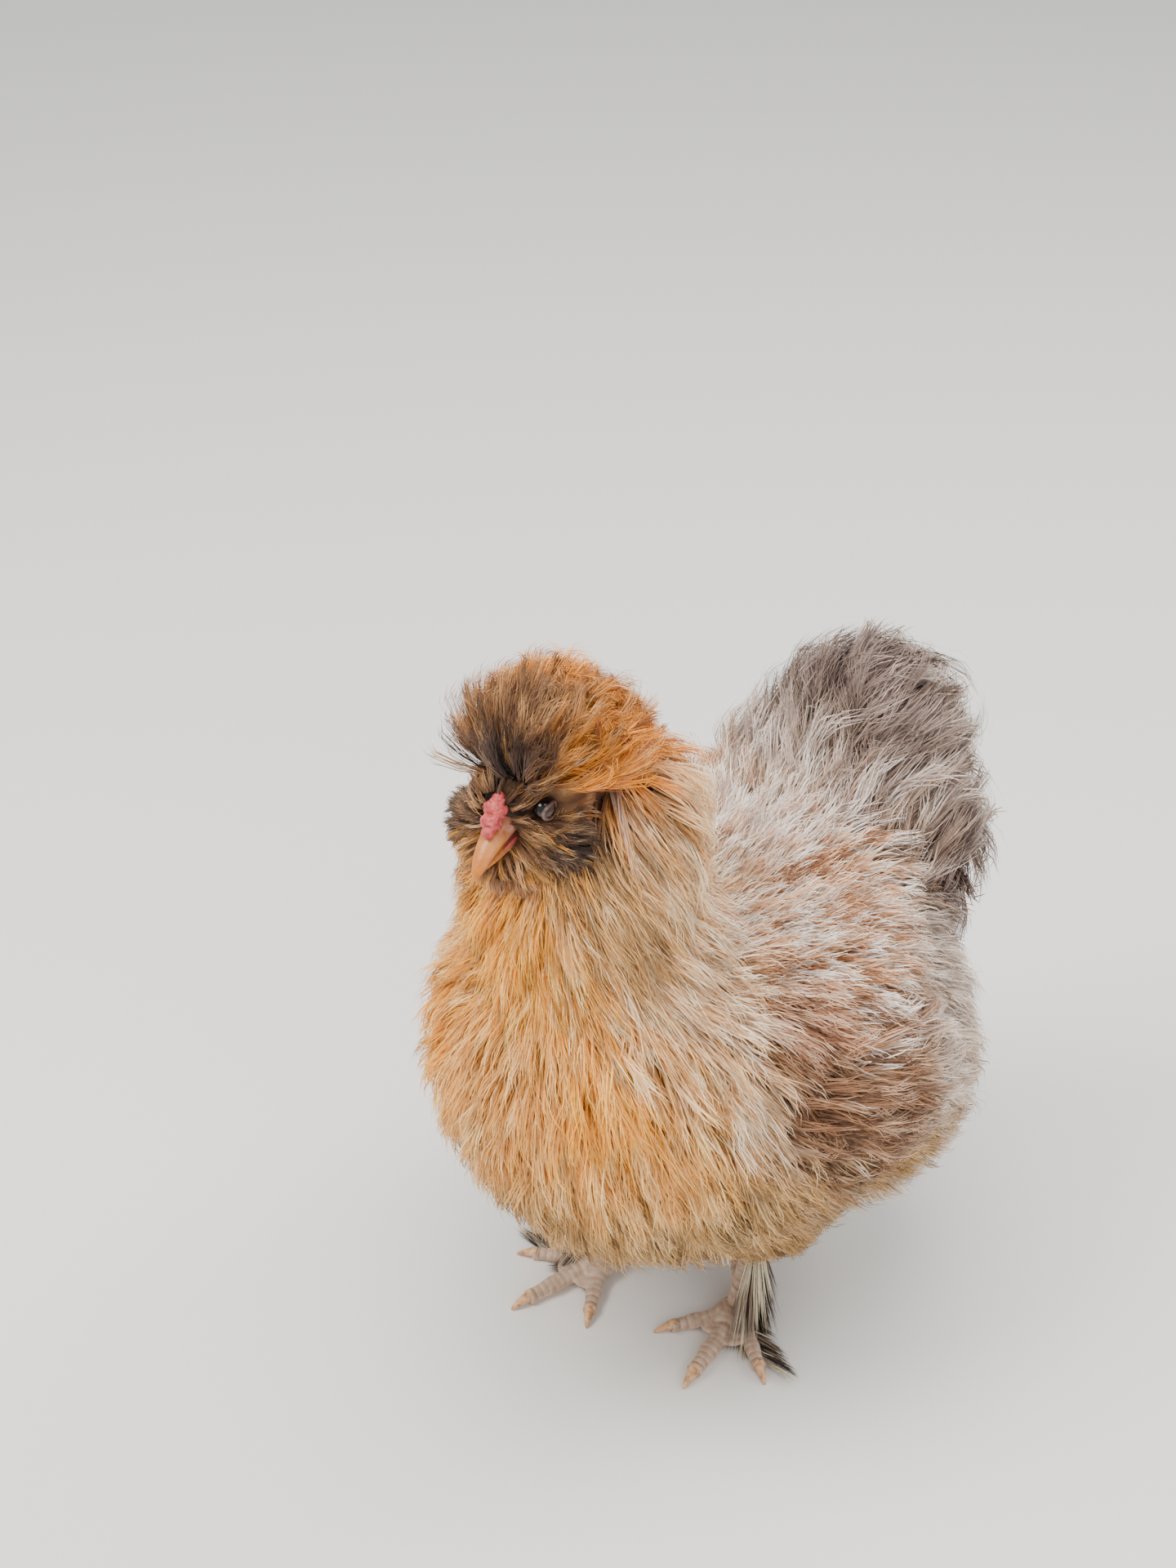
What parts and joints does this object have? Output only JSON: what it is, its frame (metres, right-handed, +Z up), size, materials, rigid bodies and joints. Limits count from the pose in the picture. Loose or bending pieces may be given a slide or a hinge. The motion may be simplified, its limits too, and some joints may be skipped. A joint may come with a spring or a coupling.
{
  "type": "silkie chicken, still life-size model",
  "caption": "Standing silkie hen, a still life-size museum-like model: fluffy buff coat, crest, walnut comb, earlobes, feathered five-toed feet.",
  "frame": {"origin": "centre of the bounding box on the floor", "axes": "+Z up, the hen faces -Y, and its left side is +X"},
  "size_m": [0.2096, 0.274, 0.3526],
  "materials": {
    "body_feather": "matte",
    "neck_feather": "matte",
    "crest_feather": "matte",
    "face_feather": "matte",
    "tail_feather": "matte",
    "comb_skin": "satin",
    "lobe_skin": "satin",
    "scaly_skin": "satin",
    "bill_horn": "satin",
    "claw_horn": "satin",
    "eye": "gloss"
  },
  "bodies": {
    "root": {"bill_upper": "bill_horn", "bill_lower": "bill_horn", "comb": "comb_skin", "crest": "crest_feather", "head": "face_feather", "neck": "neck_feather", "tail": "tail_feather", "torso": "body_feather", "eye_left": "eye", "earlobe_left": "lobe_skin", "wing_left": "body_feather", "thigh_left": "body_feather", "shank_left": "scaly_skin", "claw_fifth_left": "claw_horn", "foot_left": "scaly_skin", "claw_inner_left": "claw_horn", "claw_middle_left": "claw_horn", "claw_outer_left": "claw_horn", "claw_hind_left": "claw_horn", "eye_right": "eye", "earlobe_right": "lobe_skin", "wing_right": "body_feather", "thigh_right": "body_feather", "shank_right": "scaly_skin", "claw_fifth_right": "claw_horn", "foot_right": "scaly_skin", "claw_inner_right": "claw_horn", "claw_middle_right": "claw_horn", "claw_outer_right": "claw_horn", "claw_hind_right": "claw_horn"}
  },
  "joints": []
}
